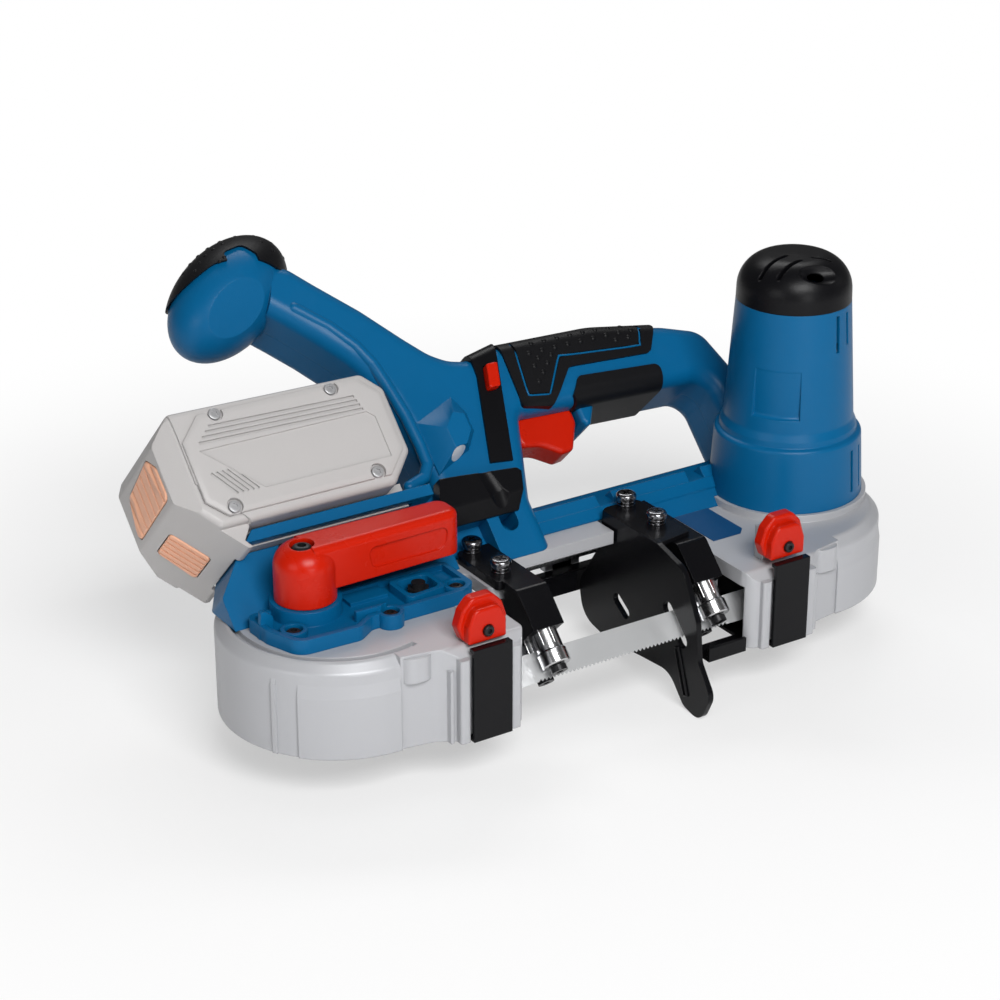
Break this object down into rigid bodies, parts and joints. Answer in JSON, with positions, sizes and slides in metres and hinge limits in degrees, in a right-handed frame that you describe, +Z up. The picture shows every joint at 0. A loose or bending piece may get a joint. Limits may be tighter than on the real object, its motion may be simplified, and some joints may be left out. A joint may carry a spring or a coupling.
{
  "type": "portable band saw",
  "caption": "Cordless hand-held band saw: toothed blade twisted between roller guides, guarded wheels, motor tower, leaning handle with knob, tension lever and slide-on battery pack.",
  "frame": {"origin": "middle of the foot of the whole envelope, level with the tip of the work stop's tongue", "axes": "+X along the blade from the idler wheel to the drive wheel, +Y from the cut towards the handle, +Z up along the wheel shafts towards the motor"},
  "size_m": [0.3323, 0.2189, 0.1854],
  "materials": {
    "blue_plastic": "fine-grained moulded polyamide",
    "black_rubber": "dimpled soft grip",
    "black_plastic": "satin moulded",
    "red_plastic": "satin moulded",
    "silver_cast": "silver powder coat on die casting",
    "black_sheet": "black coated sheet",
    "blade_steel": "fine ground band",
    "bright_steel": "turned and ground",
    "gear_steel": "oiled",
    "black_steel": "black oxide",
    "wheel_cast": "machined casting",
    "tyre_rubber": "smooth band tyre",
    "core_iron": "laminated",
    "fan_plastic": "moulded",
    "board_green": "lacquered",
    "clear_lens": "frosted",
    "pack_grey": "pale grey moulded",
    "pack_orange": "pale orange moulded"
  },
  "bodies": {
    "frame": {"beam": "silver_cast", "blade": "blade_steel", "bracket_screws": "black_steel", "collar": "black_plastic", "control_board": "board_green", "cover_hinge_pins": "bright_steel", "gearbox_plate": "silver_cast", "grip_pad": "black_rubber", "guard_left": "silver_cast", "guard_right": "silver_cast", "guide_bracket_left": "black_sheet", "guide_bracket_right": "black_sheet", "guide_collars": "bright_steel", "guide_screws": "black_steel", "housing_front": "blue_plastic", "housing_rear": "blue_plastic", "key_clip": "black_plastic", "knob_pad": "black_rubber", "led_lens": "clear_lens", "motor_bearing": "bright_steel", "motor_cap": "black_plastic", "motor_housing": "blue_plastic", "motor_stator": "core_iron", "plate_screws": "black_steel", "shaft_bearing": "bright_steel", "switch_module": "black_plastic", "tension_plate": "blue_plastic", "top_pad": "black_rubber", "tracking_bolt": "black_steel", "work_stop": "black_sheet"},
    "cover": {"wheel_cover": "black_sheet"},
    "latch_left": {"latch_left": "red_plastic"},
    "latch_right": {"latch_right": "red_plastic"},
    "tension": {"tension_slide": "bright_steel", "idler_axle": "bright_steel", "axle_clip": "bright_steel"},
    "lever": {"tension_lever": "red_plastic", "lever_screw": "black_steel"},
    "idler": {"idler_wheel": "wheel_cast", "idler_tyre": "tyre_rubber", "idler_bearing": "bright_steel"},
    "drive": {"drive_wheel": "wheel_cast", "drive_tyre": "tyre_rubber", "drive_gear": "gear_steel", "drive_shaft": "bright_steel", "wheel_bolt": "black_steel"},
    "rotor": {"motor_rotor": "core_iron", "pinion": "gear_steel", "cooling_fan": "fan_plastic"},
    "roller_left_front": {"guide_roller_left_front": "bright_steel"},
    "roller_left_rear": {"guide_roller_left_rear": "bright_steel"},
    "roller_right_front": {"guide_roller_right_front": "bright_steel"},
    "roller_right_rear": {"guide_roller_right_rear": "bright_steel"},
    "trigger": {"trigger": "red_plastic"},
    "lock": {"lock_button": "red_plastic"},
    "key": {"hex_key": "black_steel"},
    "battery": {"battery_pack": "pack_grey", "battery_end": "pack_grey"},
    "button_upper": {"battery_button_upper": "pack_orange"},
    "button_lower": {"battery_button_lower": "pack_orange"}
  },
  "joints": [
    {"name": "drive_spin", "type": "hinge", "parent": "frame", "child": "drive", "pos_m": [0.11513, -0.0394, 0.0375], "axis": [0, 0, 1], "continuous": true},
    {"name": "idler_spin", "type": "hinge", "parent": "tension", "child": "idler", "pos_m": [-0.11017, -0.0394, 0.0375], "axis": [0, 0, 1], "continuous": true},
    {"name": "motor_spin", "type": "hinge", "parent": "frame", "child": "rotor", "pos_m": [0.12922, -0.03427, 0.0825], "axis": [0, 0, 1], "continuous": true},
    {"name": "tension_travel", "type": "slide", "parent": "frame", "child": "tension", "axis": [1, 0, 0], "range_m": [0, 0.0025]},
    {"name": "lever_turn", "type": "hinge", "parent": "frame", "child": "lever", "pos_m": [-0.12518, -0.0404, 0.0825], "axis": [0, 0, -1], "range_deg": [0, 30]},
    {"name": "cover_hinge", "type": "hinge", "parent": "frame", "child": "cover", "pos_m": [0.00248, 0.0146, 0.0251], "axis": [1, 0, 0], "range_deg": [0, 90]},
    {"name": "latch_left_lift", "type": "slide", "parent": "frame", "child": "latch_left", "axis": [0, 0, 1], "range_m": [0, 0.005]},
    {"name": "latch_right_lift", "type": "slide", "parent": "frame", "child": "latch_right", "axis": [0, 0, 1], "range_m": [0, 0.005]},
    {"name": "trigger_press", "type": "slide", "parent": "frame", "child": "trigger", "axis": [0, 0.7071, 0.7071], "range_m": [0, 0.005], "stiffness_N_per_m": 600, "springref_m": -0.004},
    {"name": "lock_press", "type": "slide", "parent": "frame", "child": "lock", "axis": [0, 0.7071, -0.7071], "range_m": [0, 0.003], "stiffness_N_per_m": 300, "springref_m": -0.003},
    {"name": "key_pull", "type": "slide", "parent": "frame", "child": "key", "axis": [1, 0, 0], "range_m": [0, 0.1]},
    {"name": "battery_slide", "type": "slide", "parent": "frame", "child": "battery", "axis": [-1, 0, 0], "range_m": [0, 0.085]},
    {"name": "button_upper_press", "type": "slide", "parent": "battery", "child": "button_upper", "axis": [1, 0, 0], "range_m": [0, 0.002], "stiffness_N_per_m": 300, "springref_m": -0.003},
    {"name": "button_lower_press", "type": "slide", "parent": "battery", "child": "button_lower", "axis": [0.7563, 0.4626, 0.4626], "range_m": [0, 0.002], "stiffness_N_per_m": 300, "springref_m": -0.003},
    {"name": "roller_left_front_spin", "type": "hinge", "parent": "frame", "child": "roller_left_front", "pos_m": [-0.03553, -0.08965, 0.04245], "axis": [0, -0.7071, -0.7071], "continuous": true},
    {"name": "roller_left_rear_spin", "type": "hinge", "parent": "frame", "child": "roller_left_rear", "pos_m": [-0.03553, -0.07975, 0.03255], "axis": [0, -0.7071, -0.7071], "continuous": true},
    {"name": "roller_right_front_spin", "type": "hinge", "parent": "frame", "child": "roller_right_front", "pos_m": [0.04727, -0.08965, 0.04245], "axis": [0, -0.7071, -0.7071], "continuous": true},
    {"name": "roller_right_rear_spin", "type": "hinge", "parent": "frame", "child": "roller_right_rear", "pos_m": [0.04727, -0.07975, 0.03255], "axis": [0, -0.7071, -0.7071], "continuous": true}
  ],
  "couplings": [
    {"joint": "idler_spin", "follows": "drive_spin", "ratio": 1},
    {"joint": "motor_spin", "follows": "drive_spin", "ratio": -3},
    {"joint": "lever_turn", "follows": "tension_travel", "rad_per_m": 209.44},
    {"joint": "roller_left_front_spin", "follows": "drive_spin", "ratio": 7.0312},
    {"joint": "roller_left_rear_spin", "follows": "drive_spin", "ratio": -7.0312},
    {"joint": "roller_right_front_spin", "follows": "drive_spin", "ratio": 7.0312},
    {"joint": "roller_right_rear_spin", "follows": "drive_spin", "ratio": -7.0312}
  ]
}
